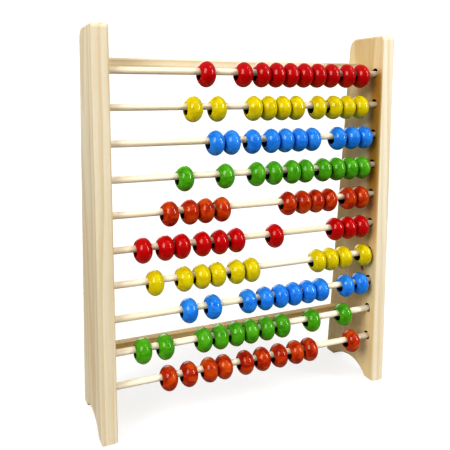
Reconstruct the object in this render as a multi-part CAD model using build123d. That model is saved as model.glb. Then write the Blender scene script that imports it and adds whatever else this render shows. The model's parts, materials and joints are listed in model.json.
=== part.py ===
from build123d import *
import math
import os

# A ten-row counting frame: two side boards, two rear rails, ten rods and a hundred beads.
# Millimetres. X runs along the rods, Y from front to back, Z up.
# The origin is on the ground, at the middle of the footprint.

# Side boards, seen from the side: upright front edge, back edge slanting out to the ground.
INNER_WIDTH = 226.0
BOARD_THICKNESS = 12.0
BOARD_HEIGHT = 300.0
BOARD_FOOT_DEPTH = 71.0
BOARD_TOP_DEPTH = 45.0
TOP_FRONT_ROUND = 3.5
TOP_BACK_ROUND = 9.0
BOARD_EDGE_ROUND = 1.5

# The arch under each board leaves a front foot and a rear foot.
FOOT_LENGTH = 11.0
ARCH_HEIGHT = 9.5
ARCH_CROWN_SETBACK = 32.0

# Rods lie in wide blind holes and rest low against the rear of their holes, this many degrees
# round from the underside.
ROD_DIAMETER = 5.2
ROD_SETBACK = 10.0
ROD_PITCH = 25.6
TOP_ROD_HEIGHT = 269.0
ROD_END_CHAMFER = 0.4
ROD_HOLE_DIAMETER = 7.8
ROD_HOLE_DEPTH = 8.0
ROD_REST_ANGLE = 52.0

# Rear rails butt against the boards, each end on one blind dowel pin.
RAIL_DEPTH = 8.0
RAIL_HEIGHT = 7.0
RAIL_EDGE_ROUND = 0.8
RAIL_INSET = 6.5
TOP_RAIL_HEIGHT = 275.4
BOTTOM_RAIL_HEIGHT = 47.7
PIN_DIAMETER = 4.0
PIN_HOLE_DIAMETER = 4.1
PIN_DEPTH_IN_BOARD = 8.0
PIN_DEPTH_IN_RAIL = 12.0
PIN_END_CHAMFER = 0.5

# Beads: flattened ellipsoids with a wide bore, each hanging on its rod by the top of the bore.
BEAD_DIAMETER = 19.4
BEAD_HALF_THICKNESS = 7.25
BEAD_WIDTH = 12.5
BORE_DIAMETER = 9.2
BORE_MOUTH_ROUND = 0.4

# A small gap where a loose piece rests on another.
RESTING_GAP = 0.05

# The beads of each row at rest, from the left board. Beads that move together are one group,
# and each number is the clear rod to the left of one bead.
BEAD_ROWS = (
    ("red", ((67.4,), (17.7,), (3.2, 0.0, 0.0, 0.0, 0.0, 0.4), (2.6, 1.5))),
    ("yellow", ((57.0,), (6.6,), (17.6, 0.1, 0.0, 0.0), (7.6, 2.9, 0.3, 0.5))),
    ("blue", ((74.4, 0.7), (5.4,), (4.0, 0.0, 0.0, 0.0), (11.9, 1.3, 0.0))),
    ("green", ((49.8,), (20.3,), (14.0, 3.0), (3.9, 0.1), (4.2, 0.8, 0.4, 0.0))),
    ("orange", ((37.8,), (3.4, 0.0, 0.9), (45.5, 1.1, 0.0, 0.1), (7.0, 0.0))),
    ("red", ((17.2,), (4.3, 0.4), (4.0, 2.0, 1.5), (21.6,), (45.4, 0.2, 0.0))),
    ("yellow", ((25.8,), (10.3, 1.7, 0.4), (3.7, 0.7), (49.1, 0.0, 1.1), (7.7,))),
    ("blue", ((52.4,), (7.4,), (17.7, 2.8, 1.4, 0.2, 0.9, 0.0), (13.3, 2.2))),
    ("green", ((15.7,), (5.0,), (18.4, 1.5, 1.4, 0.4, 1.6, 1.9), (16.4,), (19.4,))),
    ("orange", ((35.6, 3.8), (4.6, 0.0), (6.5, 2.5), (3.3, 3.3, 0.8), (30.5,))),
)

FRONT_Y = -BOARD_FOOT_DEPTH / 2
ROD_Y = FRONT_Y + ROD_SETBACK
ROD_LENGTH = INNER_WIDTH + 2 * ROD_HOLE_DEPTH
ROD_HOLE_PLAY = (ROD_HOLE_DIAMETER - ROD_DIAMETER) / 2 - RESTING_GAP
ROD_HOLE_RISE = ROD_HOLE_PLAY * math.cos(math.radians(ROD_REST_ANGLE))
ROD_HOLE_Y = ROD_Y - ROD_HOLE_PLAY * math.sin(math.radians(ROD_REST_ANGLE))
BEAD_HANG = (BORE_DIAMETER - ROD_DIAMETER) / 2 - RESTING_GAP
ALONG_X = Rotation(0, 90, 0)


def rod_height(row):
    """Height of a rod's axis, rows counted from 0 at the top."""
    return TOP_ROD_HEIGHT - row * ROD_PITCH


def rail_y(height):
    """Where the middle of a rail at this height lies, in front of the slanting back edge."""
    depth = BOARD_FOOT_DEPTH + (BOARD_TOP_DEPTH - BOARD_FOOT_DEPTH) * height / BOARD_HEIGHT
    return FRONT_Y + depth - RAIL_INSET - RAIL_DEPTH / 2


def round_bar(diameter, length, chamfer_size):
    """A straight pin or rod along X, centred on the origin, with chamfered ends."""
    bar = Cylinder(diameter / 2, length)
    return ALONG_X * chamfer(bar.edges().filter_by(GeomType.CIRCLE), chamfer_size)


def board_outline():
    """Side view of a board in the YZ plane, with the arch between its two feet."""
    back = FRONT_Y + BOARD_FOOT_DEPTH
    front_foot_end = (FRONT_Y + FOOT_LENGTH, 0)
    rear_foot_end = (back - FOOT_LENGTH, 0)
    crown = (FRONT_Y + ARCH_CROWN_SETBACK, ARCH_HEIGHT)
    top_front = (FRONT_Y, BOARD_HEIGHT)
    top_back = (FRONT_Y + BOARD_TOP_DEPTH, BOARD_HEIGHT)
    with BuildSketch(Plane.YZ) as outline:
        with BuildLine():
            Polyline(front_foot_end, (FRONT_Y, 0), top_front, top_back, (back, 0), rear_foot_end)
            TangentArc(crown, front_foot_end, tangent=(-1, 0))
            TangentArc(crown, rear_foot_end, tangent=(1, 0))
        make_face()
        for place, radius in ((0, TOP_FRONT_ROUND), (-1, TOP_BACK_ROUND)):
            top_corners = outline.vertices().group_by(Axis.Y)[-1].sort_by(Axis.X)
            fillet(top_corners[place], radius)
    return outline.sketch


def side_board(side):
    """A side board, side -1 on the left or 1 on the right, with its blind holes."""
    inner_x = side * INNER_WIDTH / 2
    board = extrude(board_outline(), BOARD_THICKNESS, dir=(side, 0, 0))
    rims = board.faces().filter_by(Axis.X).edges()
    board = Pos(inner_x, 0, 0) * fillet(rims, BOARD_EDGE_ROUND)
    rod_drill = ALONG_X * Cylinder(ROD_HOLE_DIAMETER / 2, 2 * ROD_HOLE_DEPTH)
    for row in range(len(BEAD_ROWS)):
        board -= Pos(inner_x, ROD_HOLE_Y, rod_height(row) + ROD_HOLE_RISE) * rod_drill
    pin_drill = ALONG_X * Cylinder(PIN_HOLE_DIAMETER / 2, 2 * PIN_DEPTH_IN_BOARD)
    for height in (TOP_RAIL_HEIGHT, BOTTOM_RAIL_HEIGHT):
        board -= Pos(inner_x, rail_y(height), height) * pin_drill
    return board


def rear_rail(height):
    """A square-cut crossbar between the boards, drilled at both ends for its pins."""
    rail = Box(INNER_WIDTH, RAIL_DEPTH, RAIL_HEIGHT)
    rail = fillet(rail.edges().filter_by(Axis.X), RAIL_EDGE_ROUND)
    pin_drill = ALONG_X * Cylinder(PIN_HOLE_DIAMETER / 2, 2 * PIN_DEPTH_IN_RAIL)
    for side in (-1, 1):
        rail -= Pos(side * INNER_WIDTH / 2, 0, 0) * pin_drill
    return Pos(0, rail_y(height), height) * rail


def rail_pins():
    """The four dowel pins, half hidden in the rails and half in the boards."""
    pin = round_bar(PIN_DIAMETER, PIN_DEPTH_IN_BOARD + PIN_DEPTH_IN_RAIL, PIN_END_CHAMFER)
    offset = (PIN_DEPTH_IN_BOARD - PIN_DEPTH_IN_RAIL) / 2
    pins = []
    for height in (TOP_RAIL_HEIGHT, BOTTOM_RAIL_HEIGHT):
        for side in (-1, 1):
            place = Pos(side * (INNER_WIDTH / 2 + offset), rail_y(height), height)
            pins.append(place * pin)
    return pins


def turned_bead():
    """One bead about the X axis, centred on the origin."""
    belly = BEAD_DIAMETER / 2
    profile = Ellipse(BEAD_HALF_THICKNESS, belly)
    profile &= Pos(0, belly) * Rectangle(BEAD_DIAMETER, BEAD_DIAMETER - BORE_DIAMETER)
    profile = fillet(profile.vertices(), BORE_MOUTH_ROUND)
    return revolve(profile, Axis.X)


def bead_groups(row, groups):
    """The groups of one row, each a list of beads in place."""
    bead = turned_bead()
    height = rod_height(row) - BEAD_HANG
    start = -INNER_WIDTH / 2
    placed = []
    for clear_rods in groups:
        beads = []
        for clear_rod in clear_rods:
            start += clear_rod
            beads.append(Pos(start + BEAD_WIDTH / 2, ROD_Y, height) * bead)
            start += BEAD_WIDTH
        placed.append(beads)
    return placed


def save(name, solids):
    """Write one node: a single solid, or a group of separate ones."""
    node = solids[0] if len(solids) == 1 else Compound(children=solids)
    node.label = name
    export_step(node, f"parts/{name}.step")


def main():
    os.makedirs("parts", exist_ok=True)
    save("left_side_board", [side_board(-1)])
    save("right_side_board", [side_board(1)])
    save("top_rear_rail", [rear_rail(TOP_RAIL_HEIGHT)])
    save("bottom_rear_rail", [rear_rail(BOTTOM_RAIL_HEIGHT)])
    save("rail_dowel_pins", rail_pins())
    rod = round_bar(ROD_DIAMETER, ROD_LENGTH, ROD_END_CHAMFER)
    for row, (colour, groups) in enumerate(BEAD_ROWS):
        save(f"rod_{row + 1:02d}", [Pos(0, ROD_Y, rod_height(row)) * rod])
        for letter, beads in zip("abcdefghij", bead_groups(row, groups)):
            save(f"row_{row + 1:02d}_{colour}_beads_{letter}", beads)


main()
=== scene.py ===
import json
import math
import random

import bmesh
import bpy
from mathutils import Matrix, Vector


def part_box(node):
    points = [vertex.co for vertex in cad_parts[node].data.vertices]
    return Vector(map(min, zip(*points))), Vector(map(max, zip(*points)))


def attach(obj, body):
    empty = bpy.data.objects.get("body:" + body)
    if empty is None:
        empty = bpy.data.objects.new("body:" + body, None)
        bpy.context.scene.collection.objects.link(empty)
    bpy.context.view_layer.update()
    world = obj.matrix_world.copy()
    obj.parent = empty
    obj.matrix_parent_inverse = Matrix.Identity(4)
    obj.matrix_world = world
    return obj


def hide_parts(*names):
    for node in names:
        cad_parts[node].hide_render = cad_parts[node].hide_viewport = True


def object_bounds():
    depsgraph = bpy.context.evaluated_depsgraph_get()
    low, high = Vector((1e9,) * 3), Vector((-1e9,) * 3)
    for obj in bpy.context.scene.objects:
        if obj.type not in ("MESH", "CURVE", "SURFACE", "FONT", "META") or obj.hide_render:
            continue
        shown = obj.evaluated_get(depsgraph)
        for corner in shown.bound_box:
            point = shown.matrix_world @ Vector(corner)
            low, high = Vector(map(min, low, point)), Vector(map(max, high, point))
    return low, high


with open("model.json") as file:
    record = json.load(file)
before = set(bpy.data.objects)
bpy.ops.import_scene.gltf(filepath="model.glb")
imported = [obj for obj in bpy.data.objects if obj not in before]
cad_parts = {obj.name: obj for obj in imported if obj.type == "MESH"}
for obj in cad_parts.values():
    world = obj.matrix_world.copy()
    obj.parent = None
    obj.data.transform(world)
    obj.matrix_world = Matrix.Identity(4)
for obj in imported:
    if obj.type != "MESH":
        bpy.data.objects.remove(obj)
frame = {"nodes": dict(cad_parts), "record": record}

CAD_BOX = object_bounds()
MM = 0.001
X, Y, Z = 0, 1, 2

# ------------------------------------------------------------- sizes of beads
# Beads, as turned: flattened ellipsoids cut off at both ends, with a round-mouthed bore.
BORE_RADIUS = 4.6 * MM
MOUTH_ROUND = 0.45 * MM
MOUTH_FLATNESS = 0.9
FULL_HALF_THICKNESS = 7.25
CUT_HALF_THICKNESS = 6.19
END_ANGLE_SHARE = 0.98
BELLY_FULLNESS = 0.96
BEAD_SEGMENTS = 56
BELLY_STEPS = 22
MOUTH_STEPS = 4
BORE_STEPS = 5

# How far one bead may differ from the next, in shape, in stance and in its wood.
RANDOM = random.Random(10)
WIDTH_SPREAD = 0.012
BELLY_SPREAD = 0.006
BELLY_SHIFT = 0.25 * MM
TURN_SPREAD = math.radians(1.0)
GRAIN_LEAN = 0.5
GRAIN_SHIFT = 1.0

# Two beads that are closer than this stand together.
TOUCHING_GAP = 0.05 * MM

# -------------------------------------------------- sizes of rods and holes
ROD_SEGMENTS = 48
ROD_END_CHAMFER = 0.4 * MM
ROD_EDGE_ANGLE = math.radians(35)

# The holes are wider than the rods, so their middles lie above and in front of the rods' axes. These
# sizes place the painted shade inside the holes.
HOLE_RADIUS = 3.9 * MM
HOLE_DEPTH = 8 * MM
HOLE_RISE = 0.77 * MM
HOLE_FORWARD = 0.985 * MM
HOLE_EDGE = 0.4 * MM
HOLE_MOUTH_FADE = 1.2 * MM
HOLE_END_FADE = 2 * MM

# On the inner face of the right board: painted shade, an amber streak of the beads' shadow and warm
# bounce light past the upper holes, and a knot.
INNER_FACE_START = 0.1 * MM
INNER_FACE_END = 1.2 * MM
BEAD_SHADE_OFFSET = -1.5 * MM
BEAD_SHADE_WANDER = 3 * MM
BEAD_SHADE_CORE = 3 * MM
BEAD_SHADE_REACH = 12 * MM
BEAD_SHADE_FADE = 4 * MM
KNOT_BEHIND = 8 * MM
KNOT_ABOVE = 8.5 * MM
KNOT_RADIUS = 2.4 * MM
KNOT_STRETCH = 0.8
KNOT_RAGGEDNESS = 500.0
KNOT_CORE = 0.6
KNOT_HALO = 2.0

# ------------------------------------------------------------- wood and paint
# Noises drawn out along the grain: changes per metre across it and along it, detail, roughness.
WOOD_WAVES = (16, 4, 2.0, 0.5)
WOOD_RIPPLES = (120, 14, 2.0, 0.5)
WOOD_FIBRES = (1300, 22, 3.0, 0.65)
WOOD_STREAKS = (300, 6, 2.0, 0.6)
WOOD_PORES = (2400, 140, 1.0, 0.5)
WOOD_CLOUDS = (22, 8, 3.0, 0.5)
BEAD_SHADE_NOISE = (60, 14, 2.0, 0.5)
PAINT_FIBRES = (1100, 90, 3.0, 0.6)
PAINT_STREAKS = (420, 60, 2.0, 0.5)
PAINT_CLOUDS = (150, 50, 2.0, 0.5)
PAINT_RUNS = (260, 320, 2.0, 0.5)
PAINT_DUST = 2600.0

# Where in its range of 0 to 1 each noise begins to show, and where it shows fully.
FIBRE_SPAN = (0.35, 0.7)
STREAK_SPAN = (0.42, 0.75)
PORE_SPAN = (0.66, 0.78)
CLOUD_SPAN = (0.4, 0.7)
WOOD_ROUGH_SPAN = (0.2, 0.8)
PAINT_STREAK_SPAN = (0.4, 0.66)
SOAKED_SPAN = (0.3, 0.5)
PAINT_ROUGH_SPAN = (0.25, 0.75)
DUST_SPAN = (0.74, 0.8)
BORE_FIBRE_SPAN = (0.3, 0.7)
BORE_SHADE_SPAN = (0.25, 0.8)
BORE_ROUGH_SPAN = (0.3, 0.8)

# A year's ring darkens slowly over the first span and ends sharply over the second.
RING_DARKENS = (0.2, 0.9)
RING_ENDS = (0.9, 1.0)

# How far the growth rings wander, and how dark each part of the figure is at full contrast.
WAVE_DEPTH = 14 * MM
RIPPLE_DEPTH = 1.2 * MM
PALEST_YEAR = 0.35
LATE_WOOD_TONE = 0.55
FIBRE_TONE = 0.18
STREAK_TONE = 0.16
PORE_TONE = 0.30
CLOUD_SHARE = 0.5
WOOD_ROUGHNESS = (0.46, 0.64)
WOOD_SPECULAR = 0.3
FIBRE_HEIGHT = 0.7
PORE_HEIGHT = -0.8

# Bumps: how deep they are, and how strongly they show.
GRAIN_BUMP = (0.08 * MM, 0.6)
RING_BUMP = (0.06 * MM, 0.5)


def colour(red, green, blue):
    """An sRGB colour from 0 to 255, as the linear colour that a shader takes."""
    def linear(value):
        value /= 255
        return value / 12.92 if value <= 0.04045 else ((value + 0.055) / 1.055) ** 2.4
    return (linear(red), linear(green), linear(blue), 1.0)


# Early and late wood of each sort, and the tints that lie over them. The inner, amber and hole tints
# are painted shade, and so is the lower rail's ochre wood; the cloud tint and the knot are the wood's
# own.
LEFT_WOOD = (colour(229, 220, 198), colour(200, 172, 120))
RIGHT_WOOD = (colour(238, 230, 208), colour(200, 172, 120))
# Painted shade: the lower rail's wood is a more ochre copy of the rail wood.
SHADED_LOWER_RAIL_WOOD = (colour(248, 226, 172), colour(204, 164, 92))
ROD_WOOD = (colour(250, 242, 224), colour(220, 200, 164))
SAWN_CONTRAST = 0.8
LOWER_RAIL_CONTRAST = 1.0
CLOUD_TINT = (0.95, 0.88, 0.80, 1)
# Painted shade: a warm, darker tint over the inner faces of both boards.
INNER_SHADE_TINT = (0.96, 0.87, 0.68, 1)
# Painted shade and bounce light: the beads' amber shadow on the right board's inner face.
BEAD_SHADE_TINT = (0.50, 0.34, 0.08, 1)
KNOT_BROWN = colour(120, 70, 26)
# Painted shade: the brown that darkens the inside of the rod holes.
HOLE_SHADE_BROWN = colour(92, 54, 22)

# Where the pith of each tree lay: out and back from a board's outer face, or from the origin.
LEFT_PITH = (-42 * MM, -10 * MM)
RIGHT_PITH = (48 * MM, -4 * MM)
TOP_RAIL_PITH = (0, 30 * MM, 240 * MM)
LOWER_RAIL_PITH = (0, 60 * MM, 20 * MM)
ROD_PITH = (0, -45 * MM, 150 * MM)
LEFT_LEAN = (math.radians(1.2), math.radians(-1.5), 0)
RIGHT_LEAN = (math.radians(-1.5), math.radians(1.0), 0)
RAIL_LEAN = (0, 0, 0)
ROD_LEAN = (0, 0.01, 0.008)
LEFT_RINGS = 5.5 * MM
RIGHT_RINGS = 5.8 * MM
TOP_RAIL_RINGS = 3.2 * MM
LOWER_RAIL_RINGS = 2.8 * MM
ROD_RINGS = 4.0 * MM

# Gloss paints: the body, the paint where it lies deep and thin, and how much grain shows, 0 to 1.
PAINT_COLOURS = {
    "red": (colour(188, 0, 3), colour(132, 0, 0), colour(204, 2, 10), 0.3),
    "yellow": (colour(212, 200, 0), colour(180, 142, 0), colour(230, 222, 4), 0.4),
    "blue": (colour(46, 142, 230), colour(4, 74, 176), colour(88, 172, 242), 0.4),
    "green": (colour(88, 166, 22), colour(36, 112, 0), colour(122, 200, 60), 0.45),
    "orange": (colour(188, 58, 0), colour(134, 4, 0), colour(228, 120, 8), 0.7),
}
# The bore: stained bare wood, painted dark brown as the shade inside it.
BORE_SHADE_PALE = colour(70, 30, 16)
BORE_SHADE_DARK = colour(38, 18, 12)
PAINT_FIBRE_SHARE = 0.45
PAINT_GRAIN_TONE = 0.8
THIN_SHARE = 0.6
SOAKED_SHARE = 0.45
PAINT_ROUGHNESS = (0.34, 0.46)
BORE_ROUGHNESS = 0.4
PAINT_SPECULAR = 0.08
COAT_WEIGHT = 0.9
COAT_ROUGHNESS = 0.09
COAT_IOR = 1.38
PAINT_GRAIN_BUMP = 0.5
PAINT_DUST_BUMP = 0.6
PAINT_BUMP = (0.06 * MM, 0.5)
COAT_BUMP = (0.06 * MM, 0.6)

# --------------------------------------------------- floor, lights and camera
# The pale floor is a thin film over a white surround: how solid it is, and how far out it goes.
FLOOR_HALF_SIZE = 6.0
FLOOR_BODY = 0.32
FLOOR_FULL = 0.12
FLOOR_GONE = 0.45
FLOOR_COLOURS = ((0.80, 0.80, 0.81, 1), (0.83, 0.83, 0.835, 1))
FLOOR_MOTTLE = 3.0
FLOOR_MOTTLE_SPAN = (0.3, 0.7)
FLOOR_ROUGHNESS = 0.75
FLOOR_SPECULAR = 0.2

# Soft rectangular lights: direction from the frame, size, watts and tint, all equally far away.
LIGHT_DISTANCE = 1.3
LIGHTS = {
    "right_key": ((0.78, -0.62, 0.42), (0.16, 0.75), 10, (1.0, 1.0, 1.0)),
    "left_fill": ((-0.74, -0.44, 0.48), (0.6, 0.8), 12.5, (1.0, 0.99, 0.96)),
    "overhead": ((0.34, -0.34, 0.88), (0.6, 0.3), 2, (1.0, 1.0, 1.0)),
    "rear_fill": ((0.04, 0.94, 0.30), (0.8, 0.8), 5, (1.0, 0.99, 0.97)),
}

# The room's own light grows from the floor up. What the camera sees of the room is plain white.
ROOM_TINT = (1.0, 0.98, 0.95, 1)
ROOM_WHITE = (1, 1, 1, 1)
ROOM_LIGHT = {"From Min": -0.4, "From Max": 0.5, "To Min": 0.14, "To Max": 0.46}

# The camera stands at the left front, a little below the top of the frame.
CAMERA_PLACE = (-0.1965, -0.4212, 0.2539)
CAMERA_TILT = math.radians(82.97)
CAMERA_TURN = math.radians(-23.27)
CAMERA_LENS = 45.6
CAMERA_SHIFT = (0.006, -0.139)
CAMERA_NEAR = 0.01
EXPOSURE = -0.36


# ------------------------------------------------------------ material nodes

class Shade:
    """A material and short calls for the nodes that it is made of."""

    def __init__(self, name):
        self.material = bpy.data.materials.new(name)
        self.material.use_nodes = True
        self.tree = self.material.node_tree
        self.shader = self.tree.nodes["Principled BSDF"]

    def node(self, kind, inputs=(), **settings):
        """Add a node, set its settings, and link or fill its inputs by name or number."""
        made = self.tree.nodes.new(kind)
        for name, value in settings.items():
            setattr(made, name, value)
        for name, value in dict(inputs).items():
            self.put(made.inputs[name], value)
        return made

    def put(self, socket, value):
        """Link a socket to another node's output, or give it a plain value."""
        if isinstance(value, bpy.types.NodeSocket):
            self.tree.links.new(value, socket)
        else:
            socket.default_value = value

    def finish(self, **looks):
        """Link or fill the shader's own inputs, named with _ for a space, and return the material."""
        for name, value in looks.items():
            self.put(self.shader.inputs[name.replace("_", " ")], value)
        return self.material

    def place(self):
        """The point's own place in the frame, in metres, which rides along with its piece."""
        return self.node("ShaderNodeTexCoord").outputs["Object"]

    def attribute(self, name):
        return self.node("ShaderNodeAttribute", attribute_name=name)

    def math(self, operation, first, second=0.0, third=0.0):
        inputs = {0: first, 1: second, 2: third}
        return self.node("ShaderNodeMath", inputs, operation=operation).outputs[0]

    def minus(self, first, second):
        return self.math("SUBTRACT", first, second)

    def times(self, first, second):
        return self.math("MULTIPLY", first, second)

    def times_plus(self, first, second, added):
        return self.math("MULTIPLY_ADD", first, second, added)

    def split(self, vector):
        """The X, Y and Z of a vector."""
        return self.node("ShaderNodeSeparateXYZ", {0: vector}).outputs

    def scaled(self, vector, factors):
        inputs = {0: vector, 1: factors}
        return self.node("ShaderNodeVectorMath", inputs, operation="MULTIPLY").outputs[0]

    def offset_from(self, vector, centre):
        inputs = {0: vector, 1: centre}
        return self.node("ShaderNodeVectorMath", inputs, operation="SUBTRACT").outputs[0]

    def length(self, vector):
        return self.node("ShaderNodeVectorMath", {0: vector}, operation="LENGTH").outputs["Value"]

    def noise(self, vector, scale, detail=2.0, roughness=0.5):
        inputs = {"Vector": vector, "Scale": scale, "Detail": detail, "Roughness": roughness}
        return self.node("ShaderNodeTexNoise", inputs).outputs["Fac"]

    def grain(self, place, axis, figure):
        """Noise drawn out along an axis: its changes across and along, detail and roughness."""
        across, lengthwise, detail, roughness = figure
        return self.noise(self.scaled(place, along(axis, across, lengthwise)), 1.0, detail, roughness)

    def spread(self, value, low, high, to_low=0.0, to_high=1.0):
        """Stretch low..high to to_low..to_high, smoothly and clamped."""
        inputs = {
            "Value": value,
            "From Min": low,
            "From Max": high,
            "To Min": to_low,
            "To Max": to_high,
        }
        return self.node("ShaderNodeMapRange", inputs, interpolation_type="SMOOTHSTEP").outputs[0]

    def mix(self, factor, first, second, blend="MIX"):
        """Mix two colours, by the numbers of the node's colour sockets."""
        inputs = {"Factor": factor, 6: first, 7: second}
        return self.node("ShaderNodeMix", inputs, data_type="RGBA", blend_type=blend).outputs[2]

    def bump(self, height, depth_and_strength, normal=None):
        depth, strength = depth_and_strength
        inputs = {"Height": height, "Distance": depth, "Strength": strength}
        if normal is not None:
            inputs["Normal"] = normal
        return self.node("ShaderNodeBump", inputs).outputs["Normal"]


def along(axis, across, lengthwise):
    """Scale factors for a grain that runs along an axis."""
    factors = [across, across, across]
    factors[axis] = lengthwise
    return factors


# -------------------------------------------------------------------- wood

def rod_axis(rod):
    """The Y and Z of a rod's axis."""
    low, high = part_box(rod)
    return (low[1] + high[1]) / 2, (low[2] + high[2]) / 2


def hole_shade_mask(shade, place):
    """How far inside one of the ten rod holes a point of a board lies, 0 to 1: where painted shade
    darkens the holes.
    """
    axis_y, top_axis_z = rod_axis("rod_01")
    pitch = top_axis_z - rod_axis("rod_02")[1]
    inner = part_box("rod_01")[1][0] - HOLE_DEPTH
    split = shade.split(place)
    rows = shade.math("DIVIDE", shade.minus(split["Z"], top_axis_z + HOLE_RISE), pitch)
    up = shade.times(shade.minus(rows, shade.math("ROUND", rows)), pitch)
    back = shade.minus(split["Y"], axis_y - HOLE_FORWARD)
    radius = shade.math("SQRT", shade.times_plus(up, up, shade.times(back, back)))
    depth = shade.minus(shade.math("ABSOLUTE", split["X"]), inner)
    past_mouth = shade.spread(depth, 0.0, HOLE_MOUTH_FADE)
    before_end = shade.spread(depth, HOLE_DEPTH, HOLE_DEPTH + HOLE_END_FADE, 1.0, 0.0)
    within = shade.spread(radius, HOLE_RADIUS, HOLE_RADIUS + HOLE_EDGE, 1.0, 0.0)
    return shade.times(shade.times(past_mouth, before_end), within)


def inner_face(shade, place):
    """How much a point of a board belongs to the face that looks at the beads, 0 to 1."""
    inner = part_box("right_side_board")[0][0]
    across = shade.math("ABSOLUTE", shade.split(place)["X"])
    return shade.spread(across, inner + INNER_FACE_START, inner + INNER_FACE_END, 1.0, 0.0)


def painted_bead_shade(shade, place):
    """Painted shade: the beads' warm shadow and bounce light, as an amber streak that runs down past
    the upper rod holes of a board, 0 to 1.
    """
    low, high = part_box("rod_01")
    split = shade.split(place)
    wander = shade.grain(place, Z, BEAD_SHADE_NOISE)
    off_line = shade.minus(split["Y"], rod_axis("rod_01")[0] + BEAD_SHADE_OFFSET)
    off_line = shade.times_plus(wander, BEAD_SHADE_WANDER, off_line)
    streak = shade.spread(shade.math("ABSOLUTE", off_line), BEAD_SHADE_CORE, BEAD_SHADE_REACH, 1.0, 0.0)
    upper_end = shade.spread(split["Z"], low[2], high[2] + BEAD_SHADE_FADE, 1.0, 0.0)
    lower_end = shade.spread(split["Z"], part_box("rod_08")[0][2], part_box("rod_04")[0][2])
    return shade.times(streak, shade.times(upper_end, lower_end))


def knot(shade, place):
    """The small knot behind the eighth hole of a board, 0 to 1."""
    axis_y, axis_z = rod_axis("rod_08")
    away = shade.offset_from(place, (0, axis_y + KNOT_BEHIND, axis_z + KNOT_ABOVE))
    away = shade.length(shade.scaled(away, (0, 1, KNOT_STRETCH)))
    ragged = shade.noise(place, KNOT_RAGGEDNESS)
    away = shade.times_plus(ragged, KNOT_RADIUS, away)
    return shade.spread(away, KNOT_CORE * KNOT_RADIUS, KNOT_HALO * KNOT_RADIUS, 1.0, 0.0)


def late_wood(shade, place, axis, pith, lean, ring_width):
    """Growth rings about a leaning pith line: how dark a point's late wood is, 0 to 1."""
    local = shade.node("ShaderNodeMapping", {"Vector": place, "Rotation": lean}).outputs[0]
    radius = shade.length(shade.scaled(shade.offset_from(local, pith), along(axis, 1, 0)))
    radius = shade.times_plus(shade.grain(place, axis, WOOD_WAVES), WAVE_DEPTH, radius)
    radius = shade.times_plus(shade.grain(place, axis, WOOD_RIPPLES), RIPPLE_DEPTH, radius)
    turns = shade.math("DIVIDE", radius, ring_width)
    ring = shade.math("FRACT", turns)
    number = shade.math("FLOOR", turns)
    year = shade.node("ShaderNodeTexWhiteNoise", {"W": number}, noise_dimensions="1D")
    late = shade.times(shade.spread(ring, *RING_DARKENS), shade.spread(ring, *RING_ENDS, 1.0, 0.0))
    return shade.times(late, shade.spread(year.outputs["Value"], 0.0, 1.0, PALEST_YEAR, 1.0))


def wood(name, axis, pith, lean, ring_width, tones, contrast, inner_and_hole_shade=False, bead_shade_and_knot=False):
    """Sawn or turned pale wood: growth rings about a leaning pith line, with fibres and pores. Boards
    may also take painted shade on their inner faces, in their holes and past the upper holes.
    """
    shade = Shade(name)
    place = shade.place()
    late = late_wood(shade, place, axis, pith, lean, ring_width)
    fibre = shade.grain(place, axis, WOOD_FIBRES)
    streak = shade.grain(place, axis, WOOD_STREAKS)
    pores = shade.spread(shade.grain(place, axis, WOOD_PORES), *PORE_SPAN)
    tone = shade.times(late, LATE_WOOD_TONE * contrast)
    tone = shade.times_plus(shade.spread(fibre, *FIBRE_SPAN), FIBRE_TONE * contrast, tone)
    tone = shade.times_plus(shade.spread(streak, *STREAK_SPAN), STREAK_TONE * contrast, tone)
    tone = shade.times_plus(pores, PORE_TONE * contrast, tone)
    surface = shade.mix(tone, *tones)
    cloud = shade.spread(shade.grain(place, axis, WOOD_CLOUDS), *CLOUD_SPAN, 0.0, CLOUD_SHARE)
    surface = shade.mix(cloud, surface, CLOUD_TINT, "MULTIPLY")
    if bead_shade_and_knot:
        inner = inner_face(shade, place)
        # Painted shade: the beads' amber shadow and bounce light past the upper holes.
        bead_shaded = shade.times(inner, painted_bead_shade(shade, place))
        surface = shade.mix(bead_shaded, surface, BEAD_SHADE_TINT, "MULTIPLY")
        surface = shade.mix(shade.times(inner, knot(shade, place)), surface, KNOT_BROWN)
    if inner_and_hole_shade:
        # Painted shade: both boards' inner faces are tinted warmer and darker.
        surface = shade.mix(inner_face(shade, place), surface, INNER_SHADE_TINT, "MULTIPLY")
        # Painted shade: the inside of each rod hole is darkened brown.
        surface = shade.mix(hole_shade_mask(shade, place), surface, HOLE_SHADE_BROWN)
    grain = shade.times_plus(fibre, FIBRE_HEIGHT, shade.times(pores, PORE_HEIGHT))
    return shade.finish(
        Base_Color=surface,
        Roughness=shade.spread(fibre, *WOOD_ROUGH_SPAN, *WOOD_ROUGHNESS),
        Specular_IOR_Level=WOOD_SPECULAR,
        Normal=shade.bump(late, RING_BUMP, shade.bump(grain, GRAIN_BUMP)),
    )


# ------------------------------------------------------------ paint and floor

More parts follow.
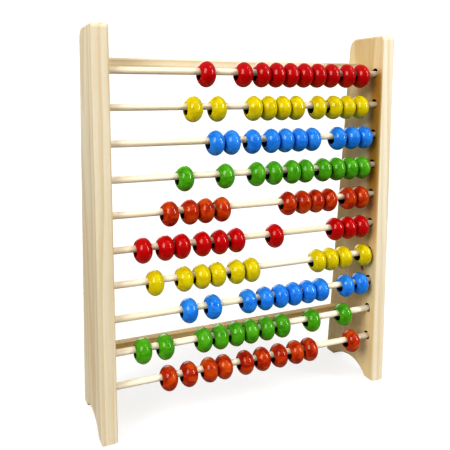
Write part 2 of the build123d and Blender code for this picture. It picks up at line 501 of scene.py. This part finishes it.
def paint(name, body, deep, thin, show_grain):
    """Gloss paint on a turned wooden bead: the grain shows through by show_grain, 0 to 1. The bore is
    stained bare wood, painted darker as shade.
    """
    shade = Shade(name)
    place = shade.attribute("bead_place").outputs["Vector"]
    inside = shade.attribute("bead_inside").outputs["Fac"]
    fibre = shade.grain(place, X, PAINT_FIBRES)
    streak = shade.spread(shade.grain(place, X, PAINT_STREAKS), *PAINT_STREAK_SPAN)
    cloud = shade.grain(place, X, PAINT_CLOUDS)
    grain = shade.times_plus(shade.spread(fibre, *FIBRE_SPAN), PAINT_FIBRE_SHARE, streak)
    surface = shade.mix(shade.times(grain, PAINT_GRAIN_TONE * show_grain), body, deep)
    thinned = shade.spread(cloud, *CLOUD_SPAN, 0.0, THIN_SHARE * show_grain)
    soaked = shade.spread(cloud, *SOAKED_SPAN, SOAKED_SHARE * show_grain, 0.0)
    surface = shade.mix(thinned, surface, thin)
    surface = shade.mix(soaked, surface, deep)
    # The bore: stained bare wood, painted darker as shade.
    bore = shade.mix(shade.spread(fibre, *BORE_FIBRE_SPAN), BORE_SHADE_PALE, BORE_SHADE_DARK)
    surface = shade.mix(shade.spread(inside, *BORE_SHADE_SPAN), surface, bore)
    rough = shade.spread(fibre, *PAINT_ROUGH_SPAN, *PAINT_ROUGHNESS)
    runs = shade.grain(place, X, PAINT_RUNS)
    dust = shade.spread(shade.noise(place, PAINT_DUST, 1.0), *DUST_SPAN)
    height = shade.times_plus(grain, PAINT_GRAIN_BUMP * show_grain, shade.times(dust, PAINT_DUST_BUMP))
    return shade.finish(
        Base_Color=surface,
        Roughness=shade.times_plus(shade.spread(inside, *BORE_ROUGH_SPAN), BORE_ROUGHNESS, rough),
        Specular_IOR_Level=PAINT_SPECULAR,
        Coat_Weight=COAT_WEIGHT,
        Coat_Roughness=COAT_ROUGHNESS,
        Coat_IOR=COAT_IOR,
        Normal=shade.bump(height, PAINT_BUMP),
        Coat_Normal=shade.bump(runs, COAT_BUMP),
    )


def floor_material():
    """A plain pale studio floor that thins out to nothing well beyond the frame."""
    shade = Shade("pale_floor")
    place = shade.place()
    mottle = shade.spread(shade.noise(place, FLOOR_MOTTLE, 3.0), *FLOOR_MOTTLE_SPAN)
    return shade.finish(
        Base_Color=shade.mix(mottle, *FLOOR_COLOURS),
        Roughness=FLOOR_ROUGHNESS,
        Specular_IOR_Level=FLOOR_SPECULAR,
        Alpha=shade.spread(shade.length(place), FLOOR_FULL, FLOOR_GONE, FLOOR_BODY, 0.0),
    )


# ------------------------------------------------------------------- pieces

def new_piece(name, mesh_maker, material, body, slot, *replaced):
    """Finish a bmesh as a smooth piece that rides on a body and stands for CAD nodes."""
    mesh = bpy.data.meshes.new(name)
    bmesh.ops.recalc_face_normals(mesh_maker, faces=mesh_maker.faces)
    mesh_maker.to_mesh(mesh)
    mesh_maker.free()
    mesh.materials.append(material)
    mesh.shade_smooth()
    piece = bpy.data.objects.new(name, mesh)
    bpy.context.scene.collection.objects.link(piece)
    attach(piece, body)
    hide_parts(*replaced)
    return piece


def lathe(maker, profile, segments, closed):
    """Turn a profile of (along, radius) points about X. Returns its rings of vertices."""
    rings = []
    for along_x, radius in profile:
        ring = []
        for step in range(segments):
            angle = math.tau * step / segments
            ring.append(maker.verts.new((along_x, radius * math.cos(angle), radius * math.sin(angle))))
        rings.append(ring)
    pairs = list(zip(rings, rings[1:]))
    if closed:
        pairs.append((rings[-1], rings[0]))
    for first, second in pairs:
        for step in range(segments):
            after = (step + 1) % segments
            maker.faces.new((first[step], first[after], second[after], second[step]))
    return rings


def bead_profile(half_width, belly_radius, belly_offset):
    """A bead's section: (along, radius, inside) round the belly, a mouth, the bore and back."""
    bulge = half_width * FULL_HALF_THICKNESS / CUT_HALF_THICKNESS
    end_angle = math.acos(half_width / bulge) * END_ANGLE_SHARE
    points = []
    for step in range(BELLY_STEPS + 1):
        share = step / BELLY_STEPS
        angle = end_angle + (math.pi - 2 * end_angle) * share
        along_x = -bulge * math.cos(angle) + belly_offset * math.sin(angle) ** 2
        points.append((along_x, belly_radius * math.sin(angle) ** BELLY_FULLNESS, 0.0))
    mouth_x, mouth_radius, _ = points[-1]
    rounding = mouth_radius - BORE_RADIUS
    mouth = []
    for step in range(1, MOUTH_STEPS + 1):
        share = step / MOUTH_STEPS
        angle = math.pi / 2 * share
        inwards = MOUTH_ROUND * MOUTH_FLATNESS * (1 - math.cos(angle))
        mouth.append((mouth_x - inwards, mouth_radius - rounding * math.sin(angle), share / 2))
    bore_x = mouth[-1][0]
    bore = []
    for step in range(1, BORE_STEPS):
        bore.append((bore_x * (1 - 2 * step / BORE_STEPS), BORE_RADIUS, 1.0))
    other_mouth = [(-along_x, radius, inside) for along_x, radius, inside in reversed(mouth)]
    return points + mouth + bore + other_mouth


def bead(name, box, material, slot, body, replaced):
    """One bead in a box (low, high), turned a little about its rod and its upright."""
    low, high = box
    middle = (Vector(low) + Vector(high)) / 2
    half_width = (high[0] - low[0]) / 2 * (1 - abs(RANDOM.gauss(0, WIDTH_SPREAD)))
    belly_radius = (high[2] - low[2]) / 2 * (1 - abs(RANDOM.gauss(0, BELLY_SPREAD)))
    profile = bead_profile(half_width, belly_radius, RANDOM.uniform(-BELLY_SHIFT, BELLY_SHIFT))
    maker = bmesh.new()
    place = maker.verts.layers.float_vector.new("bead_place")
    inside = maker.verts.layers.float.new("bead_inside")
    rings = lathe(maker, [point[:2] for point in profile], BEAD_SEGMENTS, closed=True)
    shift = Vector([RANDOM.uniform(-GRAIN_SHIFT, GRAIN_SHIFT) for _ in range(3)])
    lean_z = Matrix.Rotation(RANDOM.uniform(-GRAIN_LEAN, GRAIN_LEAN), 3, "Z")
    lean_y = Matrix.Rotation(RANDOM.uniform(-GRAIN_LEAN, GRAIN_LEAN), 3, "Y")
    for ring, point in zip(rings, profile):
        for vert in ring:
            vert[place] = lean_z @ lean_y @ vert.co + shift
            vert[inside] = point[2]
    roll = Matrix.Rotation(RANDOM.uniform(0, math.tau), 4, "X")
    turn = Matrix.Rotation(RANDOM.uniform(-TURN_SPREAD, TURN_SPREAD), 4, "Z")
    bmesh.ops.transform(maker, matrix=turn @ roll, verts=maker.verts)
    reach = max(abs(vert.co.x) for vert in maker.verts)
    squeeze = Matrix.Scale(min(1, half_width / reach), 4, (1, 0, 0))
    bmesh.ops.transform(maker, matrix=Matrix.Translation(middle) @ squeeze, verts=maker.verts)
    return new_piece(name, maker, material, body, slot, *replaced)


def bead_spans(node):
    """Where each bead of a node begins and ends along the rod, from the gaps in its mesh."""
    mesh = frame["nodes"][node].data
    reaches = []
    for face in mesh.polygons:
        places = [mesh.vertices[index].co.x for index in face.vertices]
        reaches.append((min(places), max(places)))
    spans = []
    for start, end in sorted(reaches):
        if not spans or start > spans[-1][1] + TOUCHING_GAP:
            spans.append([start, end])
        spans[-1][1] = max(spans[-1][1], end)
    return spans


def body_of_node(node):
    bodies = frame["record"]["behaviour"]["bodies"]
    return next(name for name, nodes in bodies.items() if node in nodes)


def make_beads():
    """The beads of every group. The first bead of a group stands for its CAD node."""
    paints = {name: paint(name + "_gloss", *looks) for name, looks in PAINT_COLOURS.items()}
    for node in sorted(frame["nodes"]):
        if "_beads_" not in node:
            continue
        low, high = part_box(node)
        colour_name = node.split("_")[2]
        for number, (start, end) in enumerate(bead_spans(node), 1):
            name = node.replace("_beads_", "_bead_") + str(number)
            box = ((start, low[1], low[2]), (end, high[1], high[2]))
            replaced = [node] if number == 1 else []
            slot = colour_name + "_paint"
            bead(name, box, paints[colour_name], slot, body_of_node(node), replaced)


def make_rods():
    """The ten dowels, with chamfered ends that sit in the boards' holes."""
    material = wood("rod_wood", X, ROD_PITH, ROD_LEAN, ROD_RINGS, ROD_WOOD, SAWN_CONTRAST)
    for node in sorted(frame["nodes"]):
        if not node.startswith("rod_"):
            continue
        low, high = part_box(node)
        middle = (Vector(low) + Vector(high)) / 2
        radius = (high[2] - low[2]) / 2
        half = (high[0] - low[0]) / 2
        shoulder = half - ROD_END_CHAMFER
        tip_radius = radius - ROD_END_CHAMFER
        profile = [(-half, tip_radius), (-shoulder, radius), (shoulder, radius), (half, tip_radius)]
        maker = bmesh.new()
        rings = lathe(maker, profile, ROD_SEGMENTS, closed=False)
        maker.faces.new(rings[0])
        maker.faces.new(rings[-1])
        bmesh.ops.transform(maker, matrix=Matrix.Translation(middle), verts=maker.verts)
        piece = new_piece(node + "_dowel", maker, material, "frame", "rod_wood", node)
        piece.data.set_sharp_from_angle(angle=ROD_EDGE_ANGLE)


def dress(node, material):
    """Give a CAD node that keeps its shape a better material."""
    data = frame["nodes"][node].data
    data.materials.clear()
    data.materials.append(material)


def make_boards():
    """The side boards. Each tree's pith lies outside its board's outer face."""
    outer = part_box("left_side_board")[0][0]
    pith = (outer + LEFT_PITH[0], LEFT_PITH[1], 0)
    left = wood(
        "board_wood_left", Z, pith, LEFT_LEAN, LEFT_RINGS, LEFT_WOOD, SAWN_CONTRAST, inner_and_hole_shade=True
    )
    pith = (-outer + RIGHT_PITH[0], RIGHT_PITH[1], 0)
    right = wood(
        "board_wood_right", Z, pith, RIGHT_LEAN, RIGHT_RINGS, RIGHT_WOOD, SAWN_CONTRAST,
        inner_and_hole_shade=True, bead_shade_and_knot=True,
    )
    dress("left_side_board", left)
    dress("right_side_board", right)


def make_rails():
    """The two rear rails, and the pins inside them. The lower rail and its pins take a more ochre
    wood, as painted shade.
    """
    top = wood(
        "top_rail_wood", X, TOP_RAIL_PITH, RAIL_LEAN, TOP_RAIL_RINGS, RIGHT_WOOD, SAWN_CONTRAST
    )
    lower = wood(
        "bottom_rail_wood", X, LOWER_RAIL_PITH, RAIL_LEAN, LOWER_RAIL_RINGS, SHADED_LOWER_RAIL_WOOD,
        LOWER_RAIL_CONTRAST,
    )
    dress("top_rear_rail", top)
    dress("bottom_rear_rail", lower)
    dress("rail_dowel_pins", lower)


# -------------------------------------------------------------------- stage

def add_floor():
    maker = bmesh.new()
    bmesh.ops.create_grid(maker, x_segments=1, y_segments=1, size=FLOOR_HALF_SIZE)
    mesh = bpy.data.meshes.new("floor")
    maker.to_mesh(mesh)
    maker.free()
    mesh.materials.append(floor_material())
    floor = bpy.data.objects.new("floor", mesh)
    floor.location.z = CAD_BOX[0][2]
    bpy.context.scene.collection.objects.link(floor)


def add_light(name, direction, size, power, tint):
    """A soft rectangular light that faces the middle of the frame from a direction."""
    data = bpy.data.lights.new(name, "AREA")
    data.shape = "RECTANGLE"
    data.size, data.size_y = size
    data.energy = power
    data.color = tint
    light = bpy.data.objects.new(name, data)
    aim = (Vector(CAD_BOX[0]) + Vector(CAD_BOX[1])) / 2
    light.location = aim + Vector(direction).normalized() * LIGHT_DISTANCE
    light.rotation_euler = (light.location - aim).to_track_quat("Z", "Y").to_euler()
    bpy.context.scene.collection.objects.link(light)


def add_room():
    """Dim warm light that grows from the floor up, behind a background of plain white."""
    world = bpy.data.worlds.new("pale_room")
    world.use_nodes = True
    nodes = world.node_tree.nodes
    links = world.node_tree.links
    lighting = nodes["Background"]
    lighting.inputs["Color"].default_value = ROOM_TINT
    up = nodes.new("ShaderNodeSeparateXYZ")
    links.new(nodes.new("ShaderNodeTexCoord").outputs["Generated"], up.inputs[0])
    strength = nodes.new("ShaderNodeMapRange")
    strength.interpolation_type = "SMOOTHSTEP"
    links.new(up.outputs["Z"], strength.inputs["Value"])
    for name, value in ROOM_LIGHT.items():
        strength.inputs[name].default_value = value
    links.new(strength.outputs[0], lighting.inputs["Strength"])
    seen = nodes.new("ShaderNodeBackground")
    seen.inputs["Color"].default_value = ROOM_WHITE
    paths = nodes.new("ShaderNodeLightPath")
    choose = nodes.new("ShaderNodeMixShader")
    links.new(paths.outputs["Is Camera Ray"], choose.inputs[0])
    links.new(lighting.outputs[0], choose.inputs[1])
    links.new(seen.outputs[0], choose.inputs[2])
    links.new(choose.outputs[0], nodes["World Output"].inputs["Surface"])
    bpy.context.scene.world = world


def add_camera():
    data = bpy.data.cameras.new("camera")
    data.lens = CAMERA_LENS
    data.shift_x, data.shift_y = CAMERA_SHIFT
    data.clip_start = CAMERA_NEAR
    camera = bpy.data.objects.new("camera", data)
    camera.location = CAMERA_PLACE
    camera.rotation_euler = (CAMERA_TILT, 0, CAMERA_TURN)
    bpy.context.scene.collection.objects.link(camera)
    bpy.context.scene.camera = camera


def set_view():
    view = bpy.context.scene.view_settings
    view.view_transform = "Standard"
    view.look = "High Contrast"
    view.exposure = EXPOSURE


make_boards()
make_rails()
make_rods()
make_beads()
add_floor()
for light_name, light_looks in LIGHTS.items():
    add_light(light_name, *light_looks)
add_room()
add_camera()
set_view()
